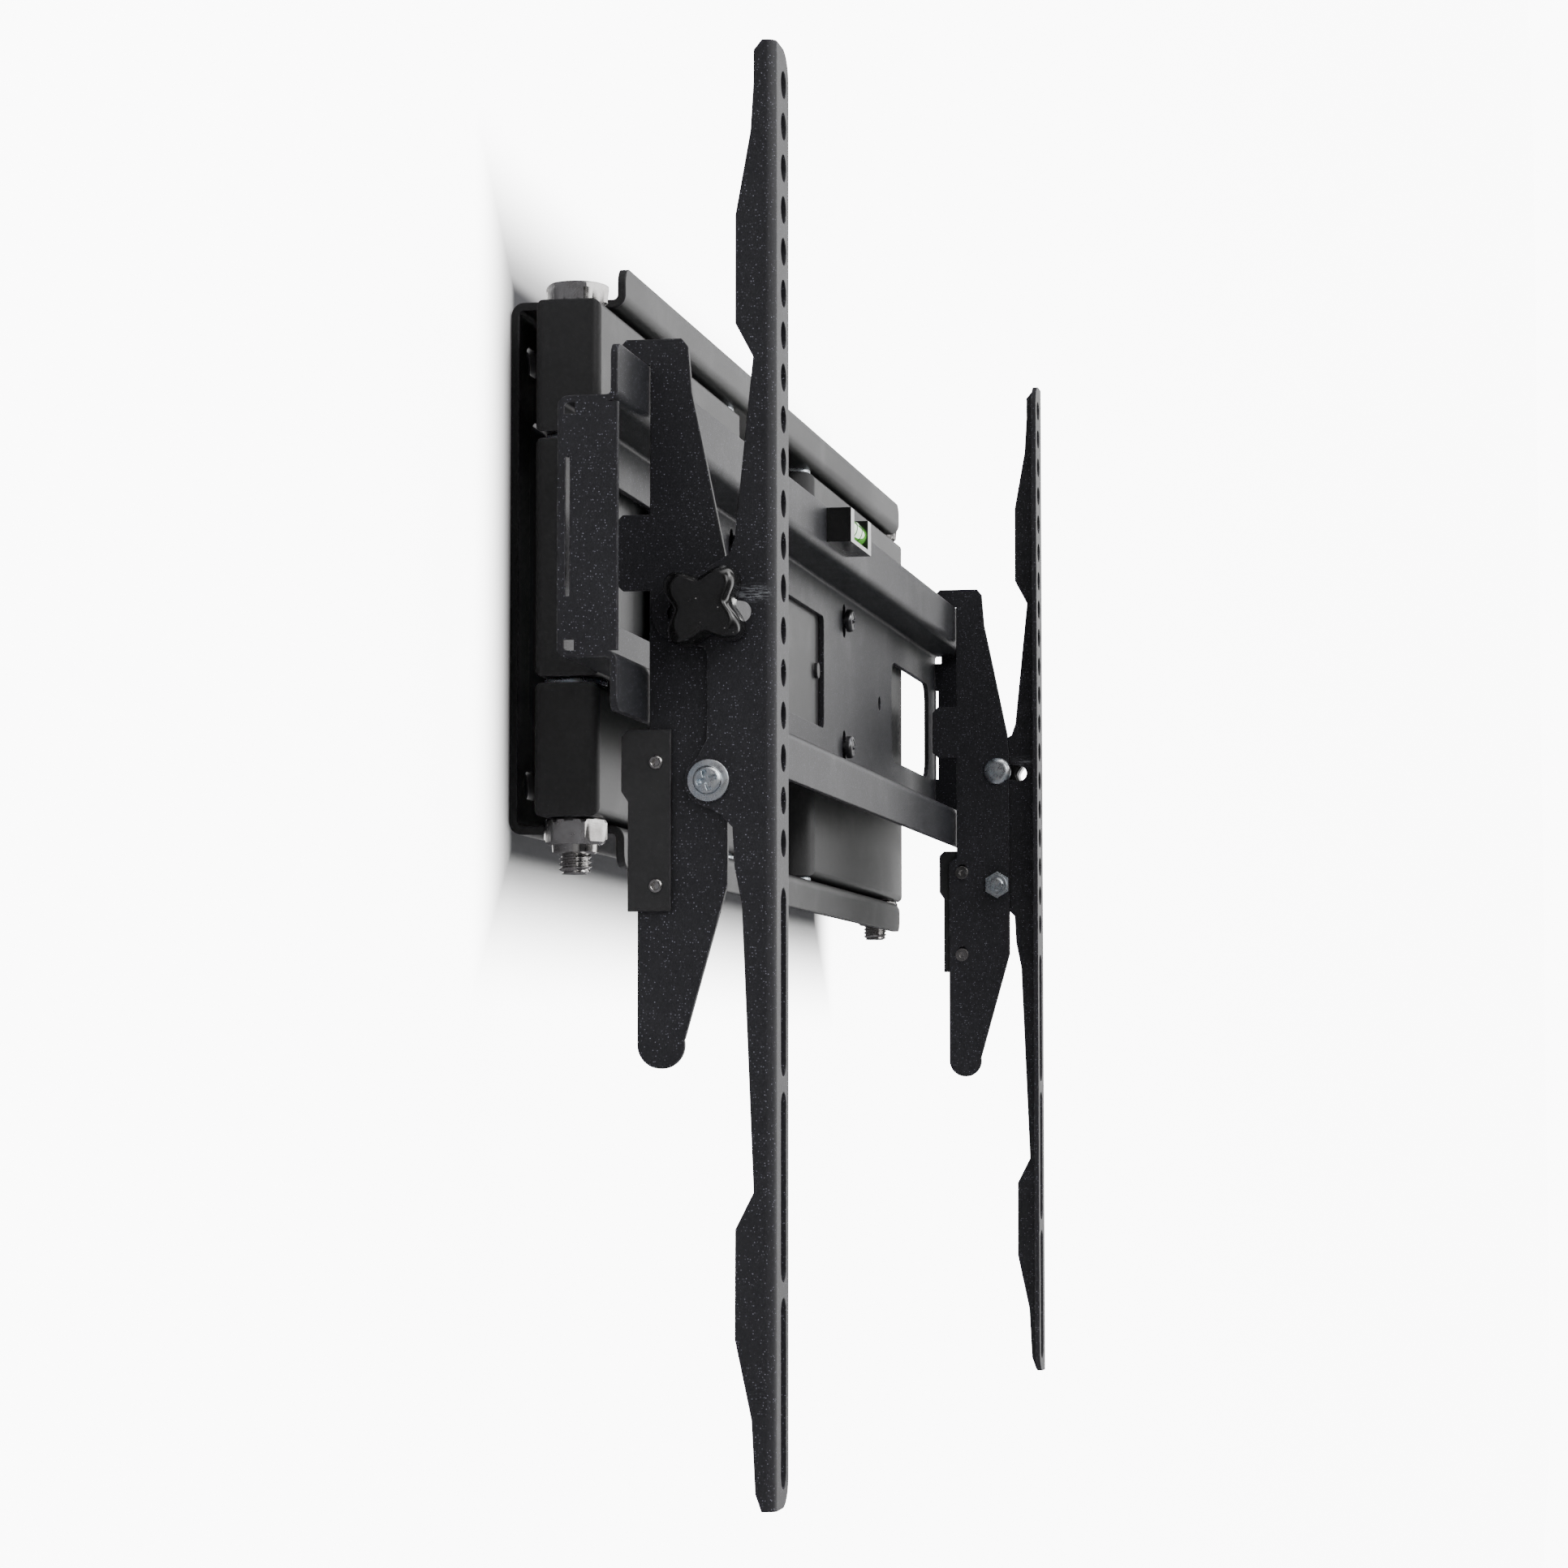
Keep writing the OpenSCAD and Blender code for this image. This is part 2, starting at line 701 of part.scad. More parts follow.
module rail(right) {
    bottom = rail_top - rail_length;
    outer_r = rail_bend + rail_sheet;
    flat_from = -rail_outer + outer_r;
    flat_width = rail_width - outer_r;
    color(powder_black)
        on_side(right) {
            intersection() {
                along_x(-rail_outer, -rail_inner) rail_outline();
                translate([-rail_outer - 1, -rail_front + outer_r, bottom - 1])
                    cube([rail_sheet + 2, rail_front, rail_length + 2]);
            }
            translate([-rail_outer + outer_r, -rail_front + outer_r, bottom])
                linear_extrude(rail_length) quarter_ring(rail_bend, outer_r, 2);
            difference() {
                along_y(rail_front - rail_sheet, rail_front)
                    union() {
                        translate([flat_from, bottom + 9]) square([flat_width, rail_length - 18]);
                        translate([flat_from, bottom]) square([flat_width - 9, rail_length]);
                        for (z = [bottom + 9, rail_top - 9])
                            translate([flat_from + flat_width - 9, z]) circle(9);
                    }
                for (k = [0 : rail_holes - 1])
                    translate([-screen_spacing / 2, -rail_front, first_hole_z - k * rail_hole_pitch])
                        rotate([90, 0, 0]) cylinder(d = rail_hole_d, h = 10, center = true);
                for (k = [0 : 2])
                    translate([-screen_spacing / 2, 0, first_slot_z - k * rail_slot_pitch])
                        slot_y(rail_slot_length, rail_hole_d / 2, true);
            }
        }
}

// Safety latch that slides up until it stands just under the cross plate's lower lip.
module latch(right) {
    low = latch_top - latch_length;
    color(powder_black)
        on_side(right)
            along_x(-latch_outer, -latch_outer + latch_sheet)
                difference() {
                    polygon([
                        [-latch_rear - 2, latch_top], [-latch_rear, latch_top - 2],
                        [-latch_rear, latch_top - 18], [-latch_rear - 2, latch_top - 21],
                        [-latch_rear - 2, low], [-latch_front, low], [-latch_front, latch_top]
                    ]);
                    for (drop = rivet_drops)
                        translate([-rivet_y, latch_top - drop]) circle(rivet_r + run_clear);
                }
}

// Tubular rivet fixed in the latch, which slides in an upright slot of the hook plate.
module latch_rivet(right, lower) {
    head = -latch_outer - rivet_flange;
    tail = -hook_inner + plate_gap;
    color(bright_metal)
        on_side(right)
            translate([0, -rivet_y, latch_top - rivet_drops[lower ? 1 : 0]])
                difference() {
                    union() {
                        pin_x(head, tail, rivet_r);
                        pin_x(head, -latch_outer, rivet_head_r);
                        pin_x(tail, tail + rivet_flange, rivet_tail_r);
                    }
                    pin_x(head - 1, tail + 2, rivet_bore_r);
                }
}

wall_plate();
shoulder_pin(false, false);  // shoulder_pin_left_upper
shoulder_pin(false, true);  // shoulder_pin_left_lower
shoulder_pin(true, false);  // shoulder_pin_right_upper
shoulder_pin(true, true);  // shoulder_pin_right_lower
outer_tube(false, false);  // tube_left_upper
outer_tube(false, true);  // tube_left_lower
outer_tube(true, false);  // tube_right_upper
outer_tube(true, true);  // tube_right_lower
elbow_bolt(false);  // elbow_bolt_left
elbow_bolt(true);  // elbow_bolt_right
elbow_nut(false);  // elbow_nut_left
elbow_nut(true);  // elbow_nut_right
elbow_washer(false, false);  // elbow_washer_left_upper
elbow_washer(false, true);  // elbow_washer_left_lower
elbow_washer(true, false);  // elbow_washer_right_upper
elbow_washer(true, true);  // elbow_washer_right_lower
middle_tube(false);  // tube_left_middle
middle_tube(true);  // tube_right_middle
head_plate();
head_pin(false);  // head_pin_left
head_pin(true);  // head_pin_right
head_bolt(false, false);  // head_bolt_left_upper
head_bolt(false, true);  // head_bolt_left_lower
head_bolt(true, false);  // head_bolt_right_upper
head_bolt(true, true);  // head_bolt_right_lower
cross_plate();
level_holder();
level_vial();
hook_plate(false);  // hook_plate_left
hook_plate(true);  // hook_plate_right
tilt_screw(false);  // tilt_screw_left
tilt_screw(true);  // tilt_screw_right
tilt_washer(false);  // tilt_washer_left
tilt_washer(true);  // tilt_washer_right
tilt_nut(false);  // tilt_nut_left
tilt_nut(true);  // tilt_nut_right
knob_stud(false);  // knob_stud_left
knob_stud(true);  // knob_stud_right
knob(false);  // knob_left
knob(true);  // knob_right
rail(false);  // rail_left
rail(true);  // rail_right
latch(false);  // latch_left
latch(true);  // latch_right
latch_rivet(false, false);  // latch_rivet_left_upper
latch_rivet(false, true);  // latch_rivet_left_lower
latch_rivet(true, false);  // latch_rivet_right_upper
latch_rivet(true, true);  // latch_rivet_right_lower
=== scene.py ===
import math

import bpy
import numpy as np
from mathutils import Matrix, Vector


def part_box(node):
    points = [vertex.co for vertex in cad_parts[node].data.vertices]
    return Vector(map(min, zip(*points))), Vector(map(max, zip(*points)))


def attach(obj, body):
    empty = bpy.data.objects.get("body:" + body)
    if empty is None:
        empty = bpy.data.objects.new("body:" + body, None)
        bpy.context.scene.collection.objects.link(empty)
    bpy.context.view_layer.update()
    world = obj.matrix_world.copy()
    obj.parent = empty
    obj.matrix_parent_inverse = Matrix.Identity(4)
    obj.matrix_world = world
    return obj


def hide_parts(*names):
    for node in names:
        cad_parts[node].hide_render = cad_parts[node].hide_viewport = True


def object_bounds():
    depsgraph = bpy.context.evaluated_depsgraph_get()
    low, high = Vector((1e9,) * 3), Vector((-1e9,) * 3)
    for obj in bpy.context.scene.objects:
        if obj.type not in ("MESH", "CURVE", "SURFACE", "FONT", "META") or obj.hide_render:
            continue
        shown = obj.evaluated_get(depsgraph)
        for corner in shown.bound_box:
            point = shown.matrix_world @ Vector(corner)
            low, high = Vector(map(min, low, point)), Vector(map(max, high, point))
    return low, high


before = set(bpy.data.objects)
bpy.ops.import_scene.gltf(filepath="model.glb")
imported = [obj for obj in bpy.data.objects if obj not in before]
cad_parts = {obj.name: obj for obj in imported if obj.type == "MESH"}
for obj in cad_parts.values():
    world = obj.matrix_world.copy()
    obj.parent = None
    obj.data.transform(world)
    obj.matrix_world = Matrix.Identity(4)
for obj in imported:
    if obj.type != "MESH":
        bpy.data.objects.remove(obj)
cad_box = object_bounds()

MM = 0.001
SIDES = {"left": -1.0, "right": 1.0}
LEVELS = {"upper": 1.0, "lower": -1.0}

ARM_PIN_R = 5.0 * MM
SMALL_PIN_R = 3.0 * MM
THREAD_PITCH = 1.5 * MM
THREAD_DEPTH = 0.75 * MM


# ---------------------------------------------------------------- node trees

def new_group(name, inputs, outputs):
    """An empty shader node group with named sockets; returns the tree and its two end nodes."""
    tree = bpy.data.node_groups.new(name, "ShaderNodeTree")
    for label, kind, value in inputs:
        socket = tree.interface.new_socket(label, in_out="INPUT", socket_type=kind)
        if value is not None:
            socket.default_value = value
    for label, kind in outputs:
        tree.interface.new_socket(label, in_out="OUTPUT", socket_type=kind)
    start = tree.nodes.new("NodeGroupInput")
    end = tree.nodes.new("NodeGroupOutput")
    return tree, start, end


def math_node(tree, kind, first, second=None, third=None, clamp=False):
    """A math node whose inputs are sockets or plain numbers; returns its output."""
    node = tree.nodes.new("ShaderNodeMath")
    node.operation = kind
    node.use_clamp = clamp
    for slot, value in enumerate((first, second, third)):
        if value is None:
            continue
        if isinstance(value, (int, float)):
            node.inputs[slot].default_value = value
        else:
            tree.links.new(value, node.inputs[slot])
    return node.outputs[0]


def ramp_node(tree, value, low, high, out_low=0.0, out_high=1.0):
    """Carries a value smoothly from one range to another."""
    node = tree.nodes.new("ShaderNodeMapRange")
    node.interpolation_type = "SMOOTHSTEP"
    limits = (("From Min", low), ("From Max", high), ("To Min", out_low), ("To Max", out_high))
    for label, setting in limits:
        node.inputs[label].default_value = setting
    tree.links.new(value, node.inputs["Value"])
    return node.outputs["Result"]


def noise_node(tree, coords, scale, detail=4.0, roughness=0.55, stretch=None):
    """Noise on object coordinates, stretched along an axis if asked."""
    source = coords
    if stretch is not None:
        mapping = tree.nodes.new("ShaderNodeMapping")
        mapping.inputs["Scale"].default_value = stretch
        tree.links.new(coords, mapping.inputs["Vector"])
        source = mapping.outputs["Vector"]
    node = tree.nodes.new("ShaderNodeTexNoise")
    node.inputs["Detail"].default_value = detail
    node.inputs["Roughness"].default_value = roughness
    if isinstance(scale, (int, float)):
        node.inputs["Scale"].default_value = scale
    else:
        tree.links.new(scale, node.inputs["Scale"])
    tree.links.new(source, node.inputs["Vector"])
    return node.outputs["Fac"]


def mix_colour(tree, fac, first, second):
    """Mixes two colours, each a socket or a plain colour, by a mask."""
    node = tree.nodes.new("ShaderNodeMix")
    node.data_type = "RGBA"
    tree.links.new(fac, node.inputs["Factor"])
    for label, value in (("A", first), ("B", second)):
        socket = [s for s in node.inputs if s.name == label and s.type == "RGBA"][0]
        if isinstance(value, tuple):
            socket.default_value = value
        else:
            tree.links.new(value, socket)
    return [s for s in node.outputs if s.type == "RGBA"][0]


def make_grain_group():
    """Powder-coat grain: fine cells that are each a little lighter or darker, some of which
    sparkle, over a soft orange-peel height. The cells are turned, so that no flat face lies
    along a layer of them."""
    tree, start, end = new_group(
        "coat_grain",
        [("Vector", "NodeSocketVector", None), ("Cells", "NodeSocketFloat", 2400.0),
         ("Sparkle", "NodeSocketFloat", 0.12)],
        [("Sparkle", "NodeSocketFloat"), ("Height", "NodeSocketFloat"), ("Tone", "NodeSocketFloat")])
    vector = start.outputs["Vector"]
    cells = tree.nodes.new("ShaderNodeTexVoronoi")
    cells.feature = "F1"
    turned = tree.nodes.new("ShaderNodeMapping")
    turned.inputs["Rotation"].default_value = (0.4, 0.7, 0.3)
    tree.links.new(vector, turned.inputs["Vector"])
    tree.links.new(turned.outputs["Vector"], cells.inputs["Vector"])
    tree.links.new(start.outputs["Cells"], cells.inputs["Scale"])
    split = tree.nodes.new("ShaderNodeSeparateColor")
    tree.links.new(cells.outputs["Color"], split.inputs["Color"])
    lit = math_node(tree, "SUBTRACT", 1.0, start.outputs["Sparkle"])
    lit = math_node(tree, "GREATER_THAN", split.outputs["Red"], lit)
    core = ramp_node(tree, cells.outputs["Distance"], 0.1, 0.42, 1.0, 0.0)
    spark = math_node(tree, "MULTIPLY", lit, core)
    spark = math_node(tree, "MULTIPLY", spark, split.outputs["Green"])
    peel = noise_node(tree, vector, 700.0, 3.0, 0.6)
    fine = math_node(tree, "MULTIPLY", split.outputs["Blue"], 0.5)
    tree.links.new(spark, end.inputs["Sparkle"])
    tree.links.new(math_node(tree, "ADD", peel, fine), end.inputs["Height"])
    tree.links.new(noise_node(tree, vector, 45.0, 5.0, 0.6), end.inputs["Tone"])
    return tree


def make_wear_group():
    """Edge wear: how far the rounded normal turns from the true one, broken up by noise."""
    tree, start, end = new_group(
        "edge_wear",
        [("Vector", "NodeSocketVector", None), ("Amount", "NodeSocketFloat", 0.5),
         ("Rounded", "NodeSocketVector", None)],
        [("Wear", "NodeSocketFloat")])
    geometry = tree.nodes.new("ShaderNodeNewGeometry")
    dot = tree.nodes.new("ShaderNodeVectorMath")
    dot.operation = "DOT_PRODUCT"
    tree.links.new(start.outputs["Rounded"], dot.inputs[0])
    tree.links.new(geometry.outputs["Normal"], dot.inputs[1])
    edge = ramp_node(tree, dot.outputs["Value"], 0.80, 0.99, 1.0, 0.0)
    patchy = ramp_node(tree, noise_node(tree, start.outputs["Vector"], 160.0, 6.0, 0.7), 0.42, 0.66)
    worn = math_node(tree, "MULTIPLY", edge, patchy)
    worn = math_node(tree, "MULTIPLY", worn, start.outputs["Amount"], clamp=True)
    tree.links.new(worn, end.inputs["Wear"])
    return tree


def make_smudge_group():
    """Handling marks: broad cloudy patches with a softer, finer mottle inside them."""
    tree, start, end = new_group(
        "smudges", [("Vector", "NodeSocketVector", None)], [("Mask", "NodeSocketFloat")])
    cloud = ramp_node(tree, noise_node(tree, start.outputs["Vector"], 22.0, 6.0, 0.65), 0.4, 0.75)
    mottle = noise_node(tree, start.outputs["Vector"], 150.0, 4.0, 0.6)
    mottle = ramp_node(tree, mottle, 0.3, 0.7, 0.6, 1.0)
    both = math_node(tree, "MULTIPLY", cloud, mottle)
    tree.links.new(both, end.inputs["Mask"])
    return tree


def make_rub_group():
    """Rubbed patch: an ellipsoid fade round a centre, cut into fine scratches by stretched noise."""
    tree, start, end = new_group(
        "rub_mark",
        [("Vector", "NodeSocketVector", None), ("Centre", "NodeSocketVector", None),
         ("Spread", "NodeSocketVector", None)],
        [("Mask", "NodeSocketFloat")])
    offset = tree.nodes.new("ShaderNodeVectorMath")
    offset.operation = "SUBTRACT"
    tree.links.new(start.outputs["Vector"], offset.inputs[0])
    tree.links.new(start.outputs["Centre"], offset.inputs[1])
    scaled = tree.nodes.new("ShaderNodeVectorMath")
    scaled.operation = "DIVIDE"
    tree.links.new(offset.outputs["Vector"], scaled.inputs[0])
    tree.links.new(start.outputs["Spread"], scaled.inputs[1])
    size = tree.nodes.new("ShaderNodeVectorMath")
    size.operation = "LENGTH"
    tree.links.new(scaled.outputs["Vector"], size.inputs[0])
    patch = ramp_node(tree, size.outputs["Value"], 0.35, 1.0, 1.0, 0.0)
    scratch = noise_node(tree, start.outputs["Vector"], 1500.0, 5.0, 0.75, (1.0, 0.18, 1.5))
    scratch = ramp_node(tree, scratch, 0.47, 0.60, 0.0, 0.8)
    tree.links.new(math_node(tree, "MULTIPLY", patch, scratch), end.inputs["Mask"])
    return tree


GRAIN = make_grain_group()
WEAR = make_wear_group()
SMUDGE = make_smudge_group()
RUB = make_rub_group()


def group_node(tree, group, **links):
    """Places a group; keyword values are sockets or plain numbers."""
    node = tree.nodes.new("ShaderNodeGroup")
    node.node_tree = group
    for label, value in links.items():
        if isinstance(value, (int, float, tuple)):
            node.inputs[label].default_value = value
        else:
            tree.links.new(value, node.inputs[label])
    return node


def new_material(name, colour, roughness, metallic=0.0, specular=0.5):
    """A material with a Principled shader, its tree, and object coordinates."""
    material = bpy.data.materials.new(name)
    material.use_nodes = True
    tree = material.node_tree
    shader = tree.nodes["Principled BSDF"]
    shader.inputs["Base Color"].default_value = (*colour, 1.0)
    shader.inputs["Roughness"].default_value = roughness
    shader.inputs["Metallic"].default_value = metallic
    shader.inputs["Specular IOR Level"].default_value = specular
    coords = tree.nodes.new("ShaderNodeTexCoord").outputs["Object"]
    return material, tree, shader, coords


def rounded_normal(tree, radius):
    """Normal of the surface as if its edges were rounded by this radius."""
    bevel = tree.nodes.new("ShaderNodeBevel")
    bevel.samples = 6
    bevel.inputs["Radius"].default_value = radius
    return bevel.outputs["Normal"]


def bump(tree, shader, height, strength, distance, normal=None):
    """Feeds a height to the shader's normal through a Bump node."""
    node = tree.nodes.new("ShaderNodeBump")
    node.inputs["Strength"].default_value = strength
    node.inputs["Distance"].default_value = distance
    tree.links.new(height, node.inputs["Height"])
    if normal is not None:
        tree.links.new(normal, node.inputs["Normal"])
    tree.links.new(node.outputs["Normal"], shader.inputs["Normal"])


def coated_metal(name, colour, roughness, cells, sparkle, spark_colour, grain_depth,
                 edge_radius, wear, rub=None):
    """Black powder coat over steel: grain, sparkle, worn edges and handling marks."""
    material, tree, shader, coords = new_material(name, colour, roughness, specular=0.38)
    normal = rounded_normal(tree, edge_radius)
    grain = group_node(tree, GRAIN, Vector=coords, Cells=cells, Sparkle=sparkle)
    worn = group_node(tree, WEAR, Vector=coords, Amount=wear, Rounded=normal).outputs["Wear"]
    smudge = group_node(tree, SMUDGE, Vector=coords).outputs["Mask"]
    light = tuple(c * 1.6 + 0.004 for c in colour)
    tone = mix_colour(tree, grain.outputs["Tone"], (*colour, 1.0), (*light, 1.0))
    tone = mix_colour(tree, grain.outputs["Sparkle"], tone, (*spark_colour, 1.0))
    tone = mix_colour(tree, worn, tone, (0.20, 0.20, 0.21, 1.0))
    if rub is not None:
        mark = group_node(tree, RUB, Vector=coords, Centre=rub[0], Spread=rub[1]).outputs["Mask"]
        tone = mix_colour(tree, mark, tone, (0.22, 0.23, 0.25, 1.0))
    tree.links.new(tone, shader.inputs["Base Color"])
    rough = ramp_node(tree, smudge, 0.0, 1.0, roughness + 0.02, roughness - 0.03)
    tree.links.new(rough, shader.inputs["Roughness"])
    bump(tree, shader, grain.outputs["Height"], 0.35, grain_depth, normal)
    return material


def plated_metal(name, colour, roughness, tint, streaks):
    """Plated steel: bright metal with a faint tint in patches and fine turned streaks."""
    material, tree, shader, coords = new_material(name, colour, roughness, metallic=1.0)
    cloud = ramp_node(tree, noise_node(tree, coords, 180.0, 4.0, 0.6), 0.35, 0.7)
    tree.links.new(mix_colour(tree, cloud, (*colour, 1.0), (*tint, 1.0)), shader.inputs["Base Color"])
    grime = noise_node(tree, coords, 420.0, 5.0, 0.65)
    tree.links.new(ramp_node(tree, grime, 0.35, 0.75, roughness, roughness + 0.18),
                   shader.inputs["Roughness"])
    bump(tree, shader, noise_node(tree, coords, streaks, 3.0, 0.5, (1.0, 1.0, 6.0)), 0.12, 0.00008,
         rounded_normal(tree, 0.0002))
    return material


def moulded_plastic(name, colour, roughness):
    """Moulded black plastic: glossy skin with faint ripples, dust specks and rubbed edges."""
    material, tree, shader, coords = new_material(name, colour, roughness)
    shader.inputs["Coat Weight"].default_value = 0.35
    shader.inputs["Coat Roughness"].default_value = 0.12
    normal = rounded_normal(tree, 0.0004)
    speck = group_node(tree, GRAIN, Vector=coords, Cells=1300.0, Sparkle=0.012).outputs["Sparkle"]
    worn = group_node(tree, WEAR, Vector=coords, Amount=0.5, Rounded=normal).outputs["Wear"]
    tone = mix_colour(tree, speck, (*colour, 1.0), (0.25, 0.25, 0.25, 1.0))
    tone = mix_colour(tree, worn, tone, (0.07, 0.07, 0.07, 1.0))
    tree.links.new(tone, shader.inputs["Base Color"])
    smudge = group_node(tree, SMUDGE, Vector=coords).outputs["Mask"]
    tree.links.new(ramp_node(tree, smudge, 0.0, 1.0, roughness, roughness + 0.15),
                   shader.inputs["Roughness"])
    bump(tree, shader, noise_node(tree, coords, 260.0, 3.0, 0.5), 0.15, 0.0002, normal)
    return material


def vial_fluid():
    """Green spirit in a clear tube: slightly see-through, with a soft change of tone, and a painted
    glow: it faintly emits its own colour, so it looks bright.
    """
    material, tree, shader, coords = new_material("vial_fluid", (0.20, 0.75, 0.10), 0.08)
    shader.inputs["Transmission Weight"].default_value = 0.35
    shader.inputs["Coat Weight"].default_value = 0.8
    # painted glow: the fluid emits light in its own colour, though it is no lamp
    shader.inputs["Emission Strength"].default_value = 0.25
    cloud = noise_node(tree, coords, 120.0, 3.0, 0.5)
    tone = mix_colour(tree, cloud, (0.16, 0.70, 0.08, 1.0), (0.35, 0.90, 0.20, 1.0))
    tree.links.new(tone, shader.inputs["Base Color"])
    tree.links.new(tone, shader.inputs["Emission Color"])
    tree.links.new(ramp_node(tree, cloud, 0.3, 0.7, 0.05, 0.14), shader.inputs["Roughness"])
    return material


# ---------------------------------------------------------------- surfaces

def turn_to(points, centre, axis, spin=0.0):
    """Carries points whose own axis is +Z to a centre and a direction."""
    turn = Vector((0, 0, 1)).rotation_difference(Vector(axis)).to_matrix()
    turn = np.array(turn @ Matrix.Rotation(spin, 3, "Z"))
    return points @ turn.T + np.array(centre)


def mesh_piece(name, points, faces, material, body, replaced=(), crease=35.0):
    """Makes a finished piece from points and faces and says what it rides on and stands for."""
    mesh = bpy.data.meshes.new(name)
    mesh.from_pydata(points.tolist(), [], faces)
    mesh.update()
    piece = bpy.data.objects.new(name, mesh)
    bpy.context.scene.collection.objects.link(piece)
    mesh.materials.append(material)
    mesh.shade_smooth()
    mesh.set_sharp_from_angle(angle=math.radians(crease))
    if replaced:
        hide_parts(*replaced)
    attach(piece, body)
    return piece


def ring_faces(rings, around, joined):
    """Quads between rings of points; joined also ties the last ring to the first."""
    row = np.arange(rings if joined else rings - 1)[:, None]
    col = np.arange(around)[None, :]
    here = row * around
    there = ((row + 1) % rings) * around
    after = (col + 1) % around
    quads = np.stack([here + col, here + after, there + after, there + col], axis=-1)
    return quads.reshape(-1, 4)


def ring_grid(radius, height, around):
    """Points of rings about the Z axis: each is the radius times the cosine and the sine of its
    angle, at its height. Radius and height are rings by around, or one value a ring."""
    angle = np.linspace(0, 2 * np.pi, around, endpoint=False)[None, :]
    radius = np.broadcast_to(radius, (len(height), around))
    rise = np.broadcast_to(height, (len(height), around))
    return np.stack([radius * np.cos(angle), radius * np.sin(angle), rise], axis=-1)


def capped(radius, height, around):
    """Closed solid of rings, from low to high. The first and last rings each close on a point on
    the axis, at the ring's mean height."""
    grid = ring_grid(radius, height, around)
    rings = len(height)
    low = rings * around
    last = (rings - 1) * around
    here = np.arange(around)
    after = (here + 1) % around
    bottom = np.stack([np.full(around, low), after, here], axis=-1)
    top = np.stack([np.full(around, low + 1), last + here, last + after], axis=-1)
    caps = np.stack([bottom, top], axis=1).reshape(-1, 3)
    faces = ring_faces(rings, around, False).tolist() + caps.tolist()
    ends = np.array([[0, 0, grid[0, :, 2].mean()], [0, 0, grid[-1, :, 2].mean()]])
    return np.vstack([grid.reshape(-1, 3), ends]), faces


def looped(radius, height, around):
    """Closed ring: a closed profile of radius and height carried round the axis. The profile
    runs up the outside and down the bore."""
    grid = ring_grid(radius, height, around)
    return grid.reshape(-1, 3), ring_faces(len(height), around, True).tolist()


def column(values):
    """Values as one column, one for each ring."""
    return np.asarray(values, dtype=float)[:, None]


def hexagon(across, around):
    """Radius of a hexagon at each angle: half its width over flats divided by the cosine of the
    angle from the nearest flat's middle."""
    angle = np.linspace(0, 2 * np.pi, around, endpoint=False)
    from_flat = (angle + np.pi / 6) % (np.pi / 3) - np.pi / 6
    return across / 2 / np.cos(from_flat)


def thread_radius(height, around, outer, pitch, depth):
    """Helical thread: the radius falls from outer by a triangle wave of the height in pitches
    less the angle in turns."""
    turns = np.linspace(0, 1, around, endpoint=False)[None, :]
    wave = np.abs(((column(height) / pitch - turns) % 1.0) * 2 - 1)
    return outer - depth * np.clip(wave * 1.25, 0, 1)


def node_centre(name):
    """A node's middle, its size, and its lowest and highest corners at rest."""
    low, high = (np.array(c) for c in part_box(name))
    return (low + high) / 2, high - low, low, high


def end_toward(name, axis):
    """The middle of the end face that a node turns toward an axis, and the node's size."""
    centre, size, low, high = node_centre(name)
    along = int(np.argmax(np.abs(axis)))
    tip = np.array(centre)
    tip[along] = high[along] if axis[along] > 0 else low[along]
    return tip, size


def make_elbow_bolt(side, material):
    """Through bolt: threaded end, plain shank and a chamfered hexagon head with a dished top."""
    name = "elbow_bolt_" + side
    centre, size, low, high = node_centre(name)
    nut_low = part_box("elbow_nut_" + side)[0][2]
    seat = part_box(f"tube_{side}_upper")[1][2]
    pin = ARM_PIN_R
    across = size[1]
    around = 96
    thread = np.linspace(low[2], nut_low + 6 * MM, 110)
    radius = thread_radius(thread, around, pin, THREAD_PITCH, THREAD_DEPTH)
    taper = np.clip((thread - low[2]) / (1.2 * MM), 0, 1)[:, None]
    radius = radius * (0.82 + 0.18 * taper)
    head = high[2] - seat
    rise = [seat - 0.1 * MM, seat, seat, seat + 0.12 * head, seat + 0.7 * head]
    limit = [pin, pin, 0.49 * across, 0.55 * across, 0.60 * across]
    crown = np.linspace(0, 1, 9)
    rise += list(seat + head * (0.7 + 0.3 * np.sin(crown * np.pi / 2)))
    limit += list(across * (0.60 - 0.13 * (1 - np.cos(crown * np.pi / 2))))
    rise += [high[2] - 0.15 * MM, high[2] - 0.5 * MM, high[2] - 0.5 * MM]
    limit += [0.42 * across, 0.36 * across, 0.05 * across]
    shape = np.minimum(hexagon(across, around)[None, :], column(limit))
    points, faces = capped(np.vstack([radius, shape]), column(list(thread) + rise), around)
    points[:, :2] += centre[:2]
    mesh_piece("elbow_bolt_detail_" + side, points, faces, material, "link_wall_" + side,
               [name], 28)


